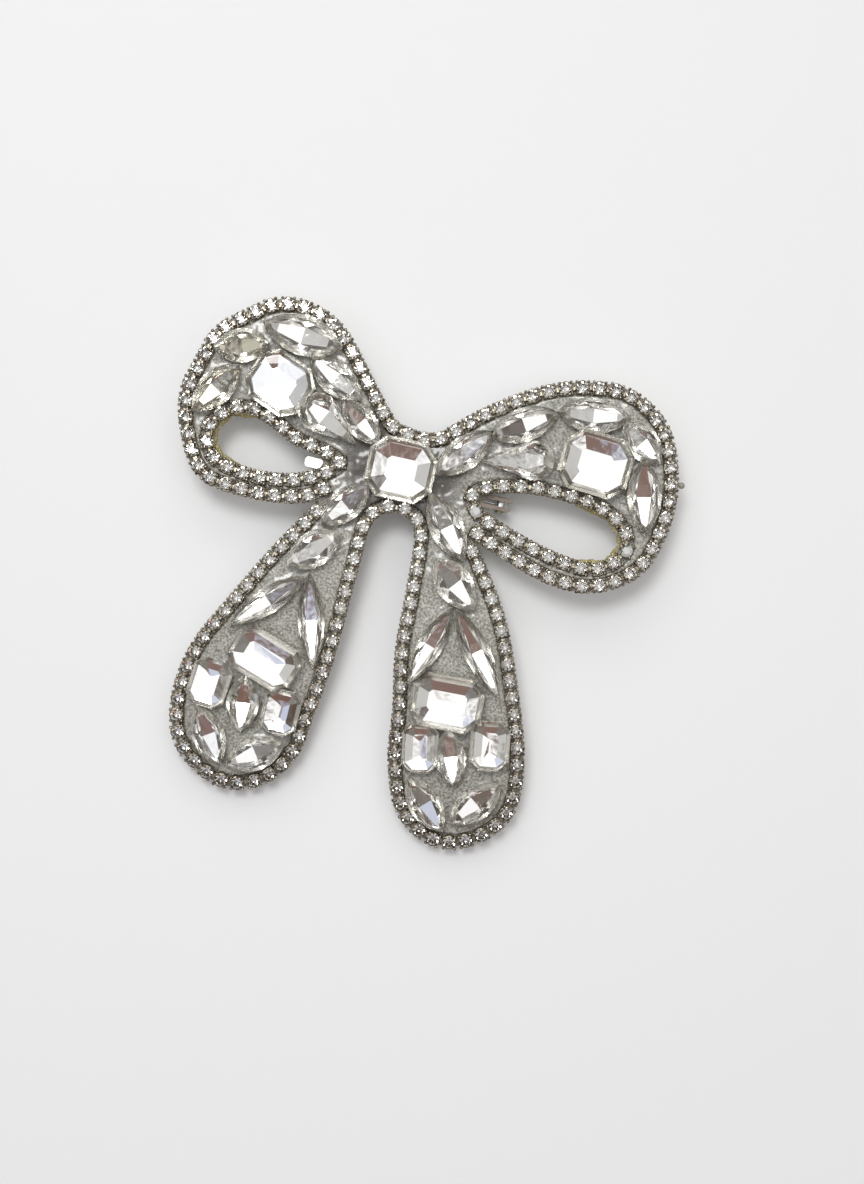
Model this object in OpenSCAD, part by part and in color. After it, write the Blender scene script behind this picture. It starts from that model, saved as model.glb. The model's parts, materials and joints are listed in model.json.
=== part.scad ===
// Crystal bow brooch: large foiled stones in a resin bed, edged with cup chain, on a felt-backed
// fabric sheet with a bar pin. +Z points out of the face, +Y up the bow, +X to the wearer's left.
// The origin is at the middle of the footprint, on the surface that the brooch lies on.

/* [Sheet] */
// Thickness of the felt on the back
felt_t = 1.2; // [0.8:0.1:1.6]
// Thickness of the card stiffener
stiffener_t = 0.4; // [0.3:0.1:0.6]
// Thickness of the woven mesh that carries the stones
mesh_t = 0.4; // [0.3:0.1:0.5]
// Thickness of the resin bed between the chains
resin_t = 0.6; // [0.4:0.1:0.8]
// How far the sheet reaches outside the centre line of the edge chain
rim = 1.1; // [1:0.05:1.4]

/* [Cup chain] */
// Spacing of the cups along a chain
chain_pitch = 3.1; // [3.05:0.05:3.5]
// Outside diameter of a cup
cup_d = 2.8; // [2.5:0.05:2.85]
// Height of a cup
cup_h = 1.8; // [1.5:0.1:2.2]
// Diameter of the small crystal in a cup
chaton_d = 2.4; // [2:0.05:2.45]

/* [Bar pin] */
// Length of the bar between the ends of its tabs
bar_l = 39; // [38.5:0.5:40]
// Width of the bar
bar_w = 4.6; // [4:0.1:5.5]
// Thickness of the bar
bar_t = 0.8; // [0.6:0.1:1]
// Diameter of the pin stem
stem_d = 0.9; // [0.8:0.05:1]
// Height of the stem's axis above the surface that the brooch lies on
stem_z = 2.1; // [2:0.05:2.2]
// Distance from the stem's axis up to the felt
stem_to_felt = 3.7; // [3.7:0.05:4]

/* [Hidden] */

$fn = 48;

// The knot's centre, seen from the middle of the footprint
knot = [-4.177, 20.065];

// Everything below is placed from the knot's centre.
// Centre line of the chain round both loops, from the lower left round to the lower right
loops_route = [
    [-12.9, -6.3], [-17, -8.7], [-26, -9.7], [-35, -8.2], [-39.5, -1.5], [-41.2, 5.5],
    [-39.8, 11.8], [-37.8, 17.4], [-33.4, 21.5], [-28.2, 24.9], [-22, 25.1], [-15.8, 22],
    [-8.8, 13.9], [-3.4, 7.9], [1, 6.7], [6, 7.3], [13.2, 13.4], [22, 19.2], [30, 22.1],
    [38, 22.4], [45.2, 17.9], [48.8, 9.5], [49.3, 1], [46.6, -8], [39.5, -13], [32, -13.4],
    [24.2, -11.3], [16.4, -8.3]
];
// Centre line of the chain round the left opening
left_ring_route = [
    [-11.1, -1], [-14.2, 0.5], [-19.7, 1.6], [-24.9, 4.1], [-30, 5.3], [-34.3, 3.1],
    [-36, -0.9], [-33.6, -5.2], [-26.5, -6.8], [-18.8, -6], [-13.2, -3.4]
];
// Centre line of the chain round the right opening
right_ring_route = [
    [13.9, -1.6], [16.6, 0.5], [23.7, 2.1], [30.5, 2.2], [37.5, 1.3], [42.6, -1.8],
    [43.3, -6.4], [38.5, -10.1], [31.4, -9.8], [23.2, -7.7], [16, -4.8]
];
// Centre line of the chain down and up both tails, from the outside of the left one
tails_route = [
    [-13.2, -10.6], [-18.6, -19.1], [-24.7, -30.1], [-29.3, -39.2], [-31, -48], [-29.7, -56],
    [-25.2, -60.8], [-19, -63], [-12.6, -60.7], [-8.4, -55], [-7, -47], [-5.5, -35],
    [-4.8, -20], [-4.1, -10.6], [-1, -7], [3.2, -7], [6.3, -10.4], [7.1, -21], [7.5, -32],
    [9.3, -42.5], [10.6, -52.5], [14.2, -61.2], [21, -65.2], [28, -63.3], [33, -57],
    [32.6, -47], [28.7, -35], [23.6, -22.8], [16.2, -11.7]
];
// Edges of the two openings
left_opening = [
    [-14.8, -0.7], [-20, 0.6], [-25.1, 3.1], [-29.8, 4.2], [-33.5, 2.4], [-34.9, -0.9],
    [-33, -4.4], [-26.6, -5.7], [-19.1, -4.9], [-14.8, -3]
];
right_opening = [
    [15.8, -1.4], [18.3, -0.2], [24, 1], [30.5, 1.1], [37.1, 0.3], [41.6, -2.4],
    [42.2, -6], [38.3, -9], [31.5, -8.7], [23.6, -6.6], [18.2, -4.3], [15.8, -3.1]
];
// How the bed's edge runs round the ends of the chains, on each side of the knot
bed_right_join = [[15.6, -6.7], [14.6, -7.8], [14.2, -10.6]];
bed_left_join = [[-11.4, -10.2], [-11.4, -6], [-12.3, -4.7]];
// The chains change node at this x: left of it is the left half of the bow
halves_meet_x = 1;

// Heights, from the surface that the brooch lies on
felt_z = stem_z + stem_to_felt;
mesh_top = felt_t + stiffener_t + mesh_t;
bed_top = mesh_top + resin_t;
bar_z = felt_z - bar_t;

// The sheet is flat down to bend_y, then bends back on a circle until the tails' tips touch the
// surface that the brooch lies on
bend_y = -12;
tail_reach = 54.38;
bend_r = (tail_reach * tail_reach + felt_z * felt_z) / (2 * felt_z);
bend_end = asin((tail_reach + 4) / bend_r);

// Large stones: name, cut, x, y, length, width, turn of the long side from +X
STONES = [
    ["stone_knot", "octagon", 0.2, 0, 11.4, 10.2, 0],
    ["stone_left_loop_top", "marquise", -22.5, 20.1, 14.2, 6.4, -5],
    ["stone_left_loop_shoulder", "marquise", -33, 15.9, 9.6, 5.4, 17],
    ["stone_left_loop_side", "marquise", -36, 7.3, 11.2, 5.3, 57],
    ["stone_left_loop_octagon", "octagon", -24.6, 10.6, 10.6, 9.4, -22],
    ["stone_left_loop_slant", "marquise", -15, 13.7, 11.4, 5.2, -28],
    ["stone_left_loop_pear", "pear", -14.3, 5.7, 11.6, 6.4, -28],
    ["stone_left_loop_inner", "marquise", -8.9, 7, 10, 4.8, -38],
    ["stone_right_loop_inner", "marquise", 10.9, 5.5, 12.4, 5.2, 49],
    ["stone_right_loop_slant", "marquise", 20.4, 12.9, 12.6, 5.4, 31],
    ["stone_right_loop_pear", "pear", 20.4, 6.2, 12.6, 6.4, 192],
    ["stone_right_loop_top", "marquise", 32.4, 17.3, 12.8, 5.6, 7],
    ["stone_right_loop_octagon", "octagon", 34.6, 8.7, 11.8, 10.2, -4],
    ["stone_right_loop_shoulder", "marquise", 42.1, 14.4, 9.4, 5.2, -38],
    ["stone_right_loop_side", "marquise", 44.6, 4.8, 13.2, 5.4, -77],
    ["stone_left_tail_1", "marquise", -8.3, -8.4, 10.8, 5, 52],
    ["stone_left_tail_2", "marquise", -12.2, -17.5, 10.4, 5.6, 44],
    ["stone_left_tail_3", "marquise", -18.4, -28.4, 15.6, 4.2, 45],
    ["stone_left_tail_4", "marquise", -9.9, -30.3, 16.5, 4.2, -76],
    ["stone_left_tail_5", "octagon", -16.7, -38.7, 11.8, 8, -19],
    ["stone_left_tail_6", "octagon", -25.7, -45.2, 8.4, 6.6, 84],
    ["stone_left_tail_7", "marquise", -19, -47.8, 10.2, 5.2, -84],
    ["stone_left_tail_8", "octagon", -11.8, -47.8, 7.8, 6.2, 88],
    ["stone_left_tail_9", "marquise", -24, -54.8, 11, 5.2, -57],
    ["stone_left_tail_10", "marquise", -14.9, -56.4, 11, 5.4, 33],
    ["stone_right_tail_1", "marquise", 10.6, -8.4, 13, 5.4, -51],
    ["stone_right_tail_2", "marquise", 14.3, -18.2, 11, 5.8, -40],
    ["stone_right_tail_3", "marquise", 12.3, -30.1, 15.2, 4, 72],
    ["stone_right_tail_4", "marquise", 21, -29.4, 17, 4.2, -52],
    ["stone_right_tail_5", "octagon", 17.6, -39.4, 12, 9, 2],
    ["stone_right_tail_6", "octagon", 14.6, -48.7, 8.4, 6.2, 100],
    ["stone_right_tail_7", "marquise", 20.5, -49.3, 10.4, 5, -73],
    ["stone_right_tail_8", "octagon", 27, -45.5, 8.4, 6.6, 98],
    ["stone_right_tail_9", "marquise", 17.8, -58.8, 11.2, 5.2, -45],
    ["stone_right_tail_10", "marquise", 26.8, -56.6, 11, 5.4, 52]
];
// Cut corners of an octagon, as a share of its width
octagon_corner = 0.24;
// Height of a stone's girdle band
girdle_h = 0.3;

// Bar pin: where it sits, and the sizes of its small pieces
pin_y = -1.9;
bar_left = -17.6;
bar_right = bar_left + bar_l;
bar_body_left = -13.6;
bar_body_right = 15.6;
tab_w = 1.9;
ear_gap = 1.5;
ear_t = 0.45;
ear_w = 2.4;
fork_w = 1;
rivet_d = 1;
rivet_x = bar_right - 1.9;
eye_d = 2.4;
eye_w = 1.3;
running = 0.04;
housing_d = 3.9;
housing_l = 2.2;
housing_x = -14.6;
sleeve_d = 2.9;
sleeve_bore = 1.5;
flange_d = 3.6;
flange_l = 1;
slot_w = 1.3;
lever_reach = 2.6;
lever_w = 0.9;
stem_full_left = -9.6;
stem_tip = -16.9;
stem_thin_d = 0.7;

// ---- Curves -------------------------------------------------------------------------------

function smooth(a, b, c, d, t) =
    0.5 * (2 * b + (c - a) * t + (2 * a - 5 * b + 4 * c - d) * t * t
        + (3 * b - a - 3 * c + d) * t * t * t);

function at(p, i, closed) =
    closed ? p[(i + len(p)) % len(p)] : p[max(0, min(len(p) - 1, i))];

// A smooth curve through the points of a route
function curve(p, closed = false, steps = 6) = [
    for (i = [0 : len(p) - (closed ? 1 : 2)], k = [0 : steps - 1])
        smooth(at(p, i - 1, closed), at(p, i, closed), at(p, i + 1, closed),
            at(p, i + 2, closed), k / steps),
    if (!closed) p[len(p) - 1]
];

// The curve moved sideways, to the left of its direction when by is positive
function beside(q, by, closed = false) = [
    for (i = [0 : len(q) - 1])
        let (d = at(q, i + 1, closed) - at(q, i - 1, closed))
            q[i] + by * [-d.y, d.x] / norm(d)
];

function reversed(q) = [for (i = [len(q) - 1 : -1 : 0]) q[i]];

// Distance run along a curve, at each of its points
function runs(q) = [
    for (i = 0, s = 0; i < len(q); s = s + (i < len(q) - 1 ? norm(q[i + 1] - q[i]) : 0),
        i = i + 1) s
];

// Cup places along a route at an even spacing: x, y and direction
function cup_places(p, closed = false) =
    let (q = closed ? concat(curve(p, true, 12), [p[0]]) : curve(p, false, 12),
        s = runs(q),
        total = s[len(s) - 1],
        n = round(total / chain_pitch),
        along_x = [for (i = [0 : len(q) - 1]) [s[i], q[i].x]],
        along_y = [for (i = [0 : len(q) - 1]) [s[i], q[i].y]],
        near = 0.4)
    [for (i = [0 : closed ? n - 1 : n])
        let (m = total * i / n, a = max(0, m - near), b = min(total, m + near),
            dx = lookup(b, along_x) - lookup(a, along_x),
            dy = lookup(b, along_y) - lookup(a, along_y))
        [lookup(m, along_x), lookup(m, along_y), atan2(dy, dx)]];

loop_cups = cup_places(loops_route);
left_ring_cup_list = cup_places(left_ring_route, true);
right_ring_cup_list = cup_places(right_ring_route, true);
tail_cups = cup_places(tails_route);

// ---- Placing ------------------------------------------------------------------------------

// From the knot's centre to the brooch's own frame
module in_frame() {
    translate([knot.x, knot.y, 0]) children();
}

// Stands its children on the sheet at x, y, height h above the felt's lower face
module on_sheet(x, y, h) {
    a = y < bend_y ? asin((bend_y - y) / (bend_r + h)) : 0;
    in_frame()
        translate([x, y, felt_z + (bend_r + h) * cos(a) - bend_r])
            rotate([a, 0, 0])
                children();
}

// ---- Sheet layers -------------------------------------------------------------------------

// One line round the bow, its edge chains' centre lines moved outwards by grow
module bow_outline(grow, right_join = [], left_join = []) {
    polygon(concat(
        beside(curve(loops_route), grow), right_join,
        reversed(beside(curve(tails_route), -grow)), left_join
    ));
}

// Side view of the bent part of a face, at a height above the felt's lower face
function bent_face(h) =
    let (steps = 20)
    [for (i = [0 : steps])
        let (a = bend_end * i / steps)
            [bend_y - (bend_r + h) * sin(a), (bend_r + h) * cos(a) - bend_r]];

// Side view of a layer between two heights above the felt's lower face
module layer_side(low, high) {
    flat_end = 30;
    polygon(concat([[flat_end, high]], bent_face(high), reversed(bent_face(low)), [[flat_end, low]]));
}

module layer_slab(low, high) {
    translate([0, 0, felt_z])
        rotate([90, 0, 90])
            linear_extrude(120, center = true) layer_side(low, high);
}

module sheet_layer(low, high, grow) {
    in_frame()
        intersection() {
            linear_extrude(30)
                difference() {
                    bow_outline(grow);
                    polygon(curve(left_opening, true));
                    polygon(curve(right_opening, true));
                }
            layer_slab(low, high);
        }
}

module felt_backing() {
    color("gainsboro") sheet_layer(0, felt_t, rim);
}

module card_stiffener() {
    color("ivory") sheet_layer(felt_t, felt_t + stiffener_t, rim - 0.4);
}

module mesh_fabric() {
    color("silver") sheet_layer(felt_t + stiffener_t, mesh_top, rim);
}

// The bed fills the bow between the chains
module resin_bed() {
    inside = cup_d / 2 + 0.05;
    color("lightgrey")
        in_frame()
            intersection() {
                linear_extrude(30)
                    difference() {
                        bow_outline(-inside, bed_right_join, bed_left_join);
                        polygon(beside(curve(left_ring_route, true), -inside, true));
                        polygon(beside(curve(right_ring_route, true), inside, true));
                    }
                layer_slab(mesh_top, bed_top);
            }
}

// ---- Cup chain ----------------------------------------------------------------------------

// A turned cup with a seat for its crystal
module cup() {
    seat_z = 0.5;
    difference() {
        cylinder(d = cup_d, h = cup_h);
        translate([0, 0, seat_z]) cylinder(d = chaton_d, h = cup_h);
    }
}

// A small pointed crystal, standing on the cup's seat with its table just above the rim
module chaton() {
    seat_z = 0.5;
    girdle_z = 1.25;
    table_z = cup_h + 0.15;
    translate([0, 0, seat_z]) cylinder(d1 = 0.8, d2 = chaton_d, h = girdle_z - seat_z);
    translate([0, 0, girdle_z]) cylinder(d = chaton_d, h = 0.2);
    translate([0, 0, girdle_z + 0.2])
        cylinder(d1 = chaton_d, d2 = chaton_d * 0.6, h = table_z - girdle_z - 0.2);
}

module cups_at(places) {
    color("dimgray") for (p = places) on_sheet(p.x, p.y, mesh_top) rotate(p.z) cup();
}

module chatons_at(places) {
    color("whitesmoke") for (p = places) on_sheet(p.x, p.y, mesh_top) rotate(p.z) chaton();
}

function left_half(places) = [for (p = places) if (p.x < halves_meet_x) p];
function right_half(places) = [for (p = places) if (p.x >= halves_meet_x) p];

// ---- Large stones -------------------------------------------------------------------------

// How deep a stone's point is, and how high its crown, for its width
function pavilion_h(w) = min(2.9, 0.34 * w);
function crown_h(w) = min(1.3, 0.13 * w + 0.25);
// How far the table and the blunt point lie inside the girdle
function table_in(w) = 0.12 * w;
function point_in(w) = 0.34 * w;

// One side of a marquise: a round stack of cones whose edge runs along the stone
module marquise_side(r, w) {
    low = pavilion_h(w);
    cylinder(r1 = r - point_in(w), r2 = r, h = low, $fn = 180);
    translate([0, 0, low]) cylinder(r = r, h = girdle_h, $fn = 180);
    translate([0, 0, low + girdle_h])
        cylinder(r1 = r, r2 = r - table_in(w), h = crown_h(w), $fn = 180);
}

module marquise(l, w) {
    r = (l * l + w * w) / (4 * w);
    intersection() {
        translate([0, r - w / 2, 0]) marquise_side(r, w);
        translate([0, w / 2 - r, 0]) marquise_side(r, w);
    }
}

// Three thin outlines joined into a cut stone: the blunt point, the girdle and the table
module cut_stone(w) {
    thin = 0.02;
    hull() {
        linear_extrude(thin) offset(delta = -point_in(w)) children();
        translate([0, 0, pavilion_h(w)]) linear_extrude(girdle_h) children();
        translate([0, 0, pavilion_h(w) + girdle_h + crown_h(w) - thin])
            linear_extrude(thin) offset(delta = -table_in(w)) children();
    }
}

module octagon_outline(l, w) {
    c = octagon_corner * w;
    polygon([
        [l / 2, c - w / 2], [l / 2, w / 2 - c], [l / 2 - c, w / 2], [c - l / 2, w / 2],
        [-l / 2, w / 2 - c], [-l / 2, c - w / 2], [c - l / 2, -w / 2], [l / 2 - c, -w / 2]
    ]);
}

// Round at the left, running to a point at the right
module pear_outline(l, w) {
    reach = l - w / 2;
    a = acos(w / 2 / reach);
    steps = 16;
    polygon(concat(
        [for (i = [0 : steps])
            let (t = a + (360 - 2 * a) * i / steps)
                [w / 2 - l / 2 + w / 2 * cos(t), w / 2 * sin(t)]],
        [[l / 2, 0]]
    ));
}

module stone(name) {
    s = STONES[search([name], STONES)[0]];
    l = s[4];
    w = s[5];
    color("white")
        on_sheet(s[2], s[3], bed_top)
            rotate(s[6]) {
                if (s[1] == "marquise") marquise(l, w);
                if (s[1] == "octagon") cut_stone(w) octagon_outline(l, w);
                if (s[1] == "pear") cut_stone(w) pear_outline(l, w);
            }
}

// ---- Bar pin ------------------------------------------------------------------------------

module rounded_bar(x0, x1, w, r) {
    hull()
        for (x = [x0 + r, x1 - r], y = [r - w / 2, w / 2 - r])
            translate([x, y]) circle(r, $fn = 32);
}

// The stamped bar, with two glue holes, a narrow tab on the left and a fork on the right
module pin_bar() {
    hole_d = 1.8;
    color("silver")
        in_frame()
            translate([0, pin_y, bar_z])
                difference() {
                    linear_extrude(bar_t) {
                        rounded_bar(bar_body_left, bar_body_right, bar_w, 1.6);
                        rounded_bar(bar_left, bar_body_left + 4, tab_w, 0.6);
                        rounded_bar(bar_body_right - 4, bar_right, ear_gap + 2 * ear_t, 0.4);
                    }
                    for (x = [-6, 8]) translate([x, 0, -1]) cylinder(d = hole_d, h = 3);
                    translate([bar_body_right + 0.6, -fork_w / 2, -1]) cube([8, fork_w, 3]);
                }
}

// Two ears under the fork's prongs that hold the rivet, round at the bottom
module hinge_bracket() {
    ear_h = bar_z - stem_z;
    color("darkgoldenrod")
        in_frame()
            difference() {
                for (side = [-1, 1])
                    translate([0, side * (ear_gap + ear_t) / 2, 0])
                        rivet_axis() {
                            cylinder(d = ear_w, h = ear_t, center = true);
                            translate([0, ear_h / 2, 0]) cube([ear_w, ear_h, ear_t], center = true);
                        }
                rivet_axis() cylinder(d = rivet_d, h = 6, center = true);
            }
}

module rivet_axis() {
    translate([rivet_x, pin_y, stem_z]) rotate([90, 0, 0]) children();
}

// The hinge rivet, with a low head outside each ear
module hinge_rivet() {
    outside = ear_gap / 2 + ear_t;
    head_d = 1.7;
    head_h = 0.3;
    color("silver")
        in_frame()
            rivet_axis() {
                cylinder(d = rivet_d, h = 2 * outside, center = true);
                for (side = [-1, 1])
                    translate([0, 0, side * (outside + head_h / 2)])
                        cylinder(d = head_d, h = head_h, center = true);
            }
}

// The stem: an eye round the rivet, a straight shank and a thinner point for the catch
module pin_stem() {
    taper_l = 1.4;
    thin_left = stem_full_left - taper_l;
    point_l = 2.4;
    color("lightsteelblue")
        in_frame()
            difference() {
                union() {
                    rivet_axis() cylinder(d = eye_d, h = eye_w, center = true);
                    translate([0, pin_y, stem_z]) rotate([0, 90, 0]) {
                        translate([0, 0, stem_full_left])
                            cylinder(d = stem_d, h = rivet_x - stem_full_left);
                        translate([0, 0, thin_left])
                            cylinder(d1 = stem_thin_d, d2 = stem_d, h = taper_l);
                        translate([0, 0, stem_tip + point_l])
                            cylinder(d = stem_thin_d, h = thin_left - stem_tip - point_l);
                        translate([0, 0, stem_tip])
                            cylinder(d1 = 0.12, d2 = stem_thin_d, h = point_l);
                    }
                }
                rivet_axis() cylinder(d = rivet_d + 2 * running, h = 3, center = true);
            }
}

// Lays its children along the stem's axis, their +Z along +X
module stem_axis(x) {
    in_frame() translate([x, pin_y, stem_z]) rotate([0, 90, 0]) children();
}

// The open side of the catch: a slot from the bore down and out
module catch_slot(l) {
    translate([0, -slot_w / 2, -1]) cube([4, slot_w, l + 2]);
}

// Fixed part of the catch: a slotted ring on a foot under the left tab
module catch_housing() {
    foot_w = 1.6;
    foot_h = bar_z - stem_z;
    color("silver")
        stem_axis(housing_x)
            difference() {
                union() {
                    cylinder(d = housing_d, h = housing_l);
                    translate([-foot_h, -foot_w / 2, 0]) cube([foot_h, foot_w, housing_l]);
                }
                translate([0, 0, -1]) cylinder(d = sleeve_d + 2 * running, h = housing_l + 2);
                catch_slot(housing_l);
            }
}

// Turning part of the catch: a slotted sleeve in the ring, with a flange and a thumb lever
module lock_sleeve() {
    gap = 0.06;
    color("gainsboro")
        stem_axis(housing_x)
            difference() {
                union() {
                    cylinder(d = sleeve_d, h = housing_l + gap + flange_l);
                    translate([0, 0, housing_l + gap]) {
                        cylinder(d = flange_d, h = flange_l);
                        translate([-lever_w / 2, 0, 0]) cube([lever_w, lever_reach, flange_l]);
                    }
                }
                translate([0, 0, -1]) cylinder(d = sleeve_bore, h = housing_l + flange_l + 3);
                catch_slot(housing_l + flange_l);
            }
}

// ---- Assembly -----------------------------------------------------------------------------

felt_backing();
card_stiffener();
mesh_fabric();
resin_bed();
pin_bar();
hinge_bracket();
hinge_rivet();
pin_stem();
catch_housing();
lock_sleeve();
cups_at(left_half(loop_cups));  // left_loop_cups
cups_at(right_half(loop_cups));  // right_loop_cups
cups_at(left_ring_cup_list);  // left_ring_cups
cups_at(right_ring_cup_list);  // right_ring_cups
cups_at(left_half(tail_cups));  // left_tail_cups
cups_at(right_half(tail_cups));  // right_tail_cups
chatons_at(left_half(loop_cups));  // left_loop_chatons
chatons_at(right_half(loop_cups));  // right_loop_chatons
chatons_at(left_ring_cup_list);  // left_ring_chatons
chatons_at(right_ring_cup_list);  // right_ring_chatons
chatons_at(left_half(tail_cups));  // left_tail_chatons
chatons_at(right_half(tail_cups));  // right_tail_chatons
for (s = STONES) stone(s[0]);
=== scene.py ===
"""Crystal bow brooch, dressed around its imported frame.

Every place and size comes from the frame's nodes: each stone, cup and small crystal is read from
the node that it stands for, and its detailed mesh is built there.
"""

from __future__ import annotations

import json
import logging
import math
import random
from dataclasses import dataclass, field
from enum import Enum, IntEnum
from typing import Callable, Iterable, Sequence

import bmesh
import bpy
from bmesh.types import BMesh, BMVert
from bpy.types import Material, Mesh, Node, NodeSocket, NodeTree, Object
from mathutils import Matrix, Vector, noise
from mathutils.bvhtree import BVHTree
from mathutils.kdtree import KDTree

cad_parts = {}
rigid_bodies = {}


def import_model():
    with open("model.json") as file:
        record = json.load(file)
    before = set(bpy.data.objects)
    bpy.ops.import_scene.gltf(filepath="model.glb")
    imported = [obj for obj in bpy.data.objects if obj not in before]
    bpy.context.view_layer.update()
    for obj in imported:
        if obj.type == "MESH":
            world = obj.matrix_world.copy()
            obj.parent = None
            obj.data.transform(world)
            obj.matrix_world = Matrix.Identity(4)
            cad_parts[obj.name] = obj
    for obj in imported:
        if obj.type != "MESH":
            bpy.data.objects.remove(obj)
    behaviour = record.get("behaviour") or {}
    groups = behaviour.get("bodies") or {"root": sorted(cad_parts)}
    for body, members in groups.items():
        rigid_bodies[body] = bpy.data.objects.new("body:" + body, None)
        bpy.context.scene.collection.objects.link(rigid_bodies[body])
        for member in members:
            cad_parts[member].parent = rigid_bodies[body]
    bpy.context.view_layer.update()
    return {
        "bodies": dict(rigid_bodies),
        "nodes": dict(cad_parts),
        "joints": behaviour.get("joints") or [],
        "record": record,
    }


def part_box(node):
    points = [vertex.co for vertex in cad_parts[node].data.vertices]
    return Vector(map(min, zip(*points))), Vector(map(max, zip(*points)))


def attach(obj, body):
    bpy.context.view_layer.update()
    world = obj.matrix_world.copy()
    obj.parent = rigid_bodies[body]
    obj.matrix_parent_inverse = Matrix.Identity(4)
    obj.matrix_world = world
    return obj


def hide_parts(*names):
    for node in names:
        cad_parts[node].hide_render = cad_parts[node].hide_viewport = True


MM = 0.001
CRYSTAL_IOR = 1.55
MID_STONE = 0.9 * MM
LOG = logging.getLogger("brooch")

Colour = tuple[float, float, float, float]
Inputs = dict[str, object]
Nodes = dict[str, Object]


# ---- Small helpers ---------------------------------------------------------------------------


def linear(code: str) -> Colour:
    """Turns an sRGB hex colour, six digits with a leading #, into linear RGBA."""
    parts = [int(code[i : i + 2], 16) / 255 for i in (1, 3, 5)]
    r, g, b = (c / 12.92 if c <= 0.04045 else ((c + 0.055) / 1.055) ** 2.4 for c in parts)
    return (r, g, b, 1.0)


def add_node(
    tree: NodeTree, kind: str, inputs: dict | None = None, **settings: object
) -> Node:
    """Adds one shader node, sets it up and links it.

    Args:
        tree: the node tree to add to.
        kind: the node's type name, after the ShaderNode that they all begin with.
        inputs: socket name or number to a value, or to the output socket to link from.
        **settings: the node's own properties.

    Returns:
        The new node.
    """
    node = tree.nodes.new(f"ShaderNode{kind}")
    for key, value in settings.items():
        setattr(node, key, value)
    for key, value in (inputs or {}).items():
        socket = node.inputs[key]
        if isinstance(value, NodeSocket):
            tree.links.new(value, socket)
        else:
            socket.default_value = value
    return node


def ramp(
    tree: NodeTree, factor: NodeSocket, stops: Sequence[tuple[float, str]]
) -> NodeSocket:
    """Adds a colour ramp with these hex colours and returns its colour output."""
    node = add_node(tree, "ValToRGB", {"Fac": factor})
    elements = node.color_ramp.elements
    first, *between, last = [(position, linear(code)) for position, code in stops]
    elements[0].position, elements[0].color = first
    elements[1].position, elements[1].color = last
    for position, colour in between:
        elements.new(position).color = colour
    return node.outputs["Color"]


def finish_mesh(name: str, bm: BMesh) -> Mesh:
    """Turns a bmesh into a mesh and frees it."""
    mesh = bpy.data.meshes.new(name)
    bm.to_mesh(mesh)
    bm.free()
    return mesh


def mesh_object(name: str, bm: BMesh, materials: Iterable[Material]) -> Object:
    """Turns a bmesh into a linked object at the origin with these materials."""
    mesh = finish_mesh(name, bm)
    for material in materials:
        mesh.materials.append(material)
    obj = bpy.data.objects.new(name, mesh)
    bpy.context.scene.collection.objects.link(obj)
    return obj


def shade_smooth(bm: BMesh) -> None:
    """Shades every face smooth."""
    for face in bm.faces:
        face.smooth = True


def turn_about(bm: BMesh, verts: Iterable[BMVert], angle: float, axis: str) -> None:
    """Turns some corners about one of the axes."""
    bmesh.ops.rotate(bm, cent=(0, 0, 0), matrix=Matrix.Rotation(angle, 3, axis), verts=verts)


def join_flat(bm: BMesh, angle: float) -> None:
    """Joins faces that meet at less than an angle in degrees, and turns every face outwards."""
    bmesh.ops.dissolve_limit(
        bm, angle_limit=math.radians(angle), verts=bm.verts, edges=bm.edges
    )
    bmesh.ops.recalc_face_normals(bm, faces=bm.faces)


def add_drop(bm: BMesh, spot: Vector, radius: float, subdivisions: int) -> None:
    """Adds one round drop."""
    bmesh.ops.create_icosphere(
        bm, subdivisions=subdivisions, radius=radius, matrix=Matrix.Translation(spot)
    )


def part_way(low: Vector, high: Vector, share: tuple[float, float]) -> Vector:
    """The point of a box's plan at these shares of its two sides."""
    return Vector((low.x + share[0] * (high.x - low.x), low.y + share[1] * (high.y - low.y)))


def nearest_other(feet: Iterable[Vector], foot: Vector) -> Vector:
    """The foot that is nearest to this one."""
    return min(feet, key=lambda f: (f - foot).length if f is not foot else math.inf)


def frame_matrix(x: Vector, y: Vector, z: Vector, origin: Vector) -> Matrix:
    """The frame with these axes and this origin."""
    frame = Matrix((x, y, z)).transposed().to_4x4()
    frame.translation = origin
    return frame


def lathe(bm: BMesh, profile: Sequence[tuple[float, float]], steps: int) -> None:
    """Spins a profile of (radius, height) points round Z into a closed skin."""
    verts = [bm.verts.new((r, 0, z)) for r, z in profile]
    edges = [bm.edges.new(pair) for pair in zip(verts, verts[1:])]
    bmesh.ops.spin(
        bm, geom=verts + edges, cent=(0, 0, 0), axis=(0, 0, 1), dvec=(0, 0, 0),
        angle=math.tau, steps=steps, use_merge=True, use_duplicate=False,
    )
    bmesh.ops.remove_doubles(bm, verts=bm.verts, dist=1e-6)
    bmesh.ops.recalc_face_normals(bm, faces=bm.faces)


def scatter(bm: BMesh, template: Mesh, places: Iterable[Matrix]) -> None:
    """Adds a copy of a template mesh at each place."""
    for place in places:
        before = len(bm.verts)
        bm.from_mesh(template)
        bm.verts.ensure_lookup_table()
        bmesh.ops.transform(bm, matrix=place, verts=bm.verts[before:])


# ---- Finishes --------------------------------------------------------------------------------


def object_place(tree: NodeTree) -> NodeSocket:
    """Adds the object coordinates and returns them."""
    return add_node(tree, "TexCoord").outputs["Object"]


def speckle(
    tree: NodeTree, place: NodeSocket, size_mm: float, detail: float = 2.0, distortion: float = 0.0
) -> NodeSocket:
    """Adds noise with grains of about this size and returns its value."""
    return add_node(tree, "TexNoise", {
        "Vector": place, "Scale": 1 / (size_mm * MM), "Detail": detail, "Distortion": distortion,
    }).outputs["Fac"]


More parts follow.
